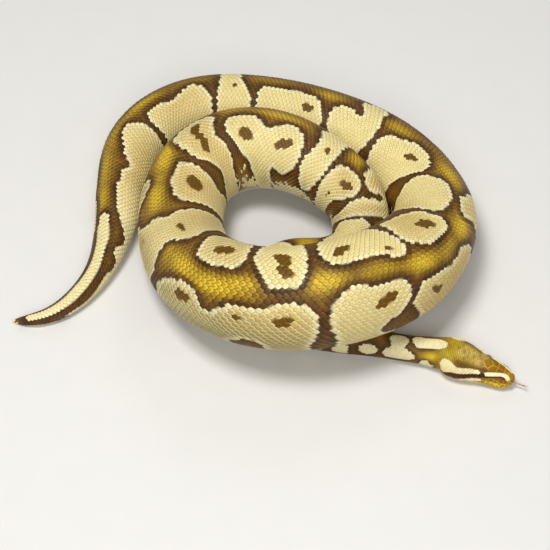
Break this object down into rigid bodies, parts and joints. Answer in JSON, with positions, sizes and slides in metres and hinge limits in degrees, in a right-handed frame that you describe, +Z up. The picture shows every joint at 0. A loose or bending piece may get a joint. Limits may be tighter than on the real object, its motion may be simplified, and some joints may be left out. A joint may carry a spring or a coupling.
{
  "type": "coiled ball python",
  "caption": "Life-size still model of a ball python lying in a loose coil, head resting on the floor under the front coil, tail stretched out to one side.",
  "frame": {"origin": "on the floor at the middle of the animal's box", "axes": "+X along the box's long side, towards the head's side of the coil; +Z up"},
  "size_m": [0.3296, 0.2538, 0.0861],
  "materials": {
    "scales": "satin overlapping scales, gold-brown ground with cream blotches",
    "head_skin": "satin head plates, gold-brown with a cream stripe through the eye",
    "eye": "wet gloss, dark",
    "tongue": "moist, pink to pale",
    "claw": "pale horn"
  },
  "bodies": {
    "root": {"head": "head_skin", "lower_jaw": "head_skin", "eye_left": "eye", "eye_right": "eye", "tongue": "tongue", "neck": "scales", "trunk_01": "scales", "trunk_02": "scales", "trunk_03": "scales", "trunk_04": "scales", "trunk_05": "scales", "trunk_06": "scales", "trunk_07": "scales", "trunk_08": "scales", "trunk_09": "scales", "trunk_10": "scales", "trunk_11": "scales", "tail": "scales", "spur_left": "claw", "spur_right": "claw"}
  },
  "joints": []
}
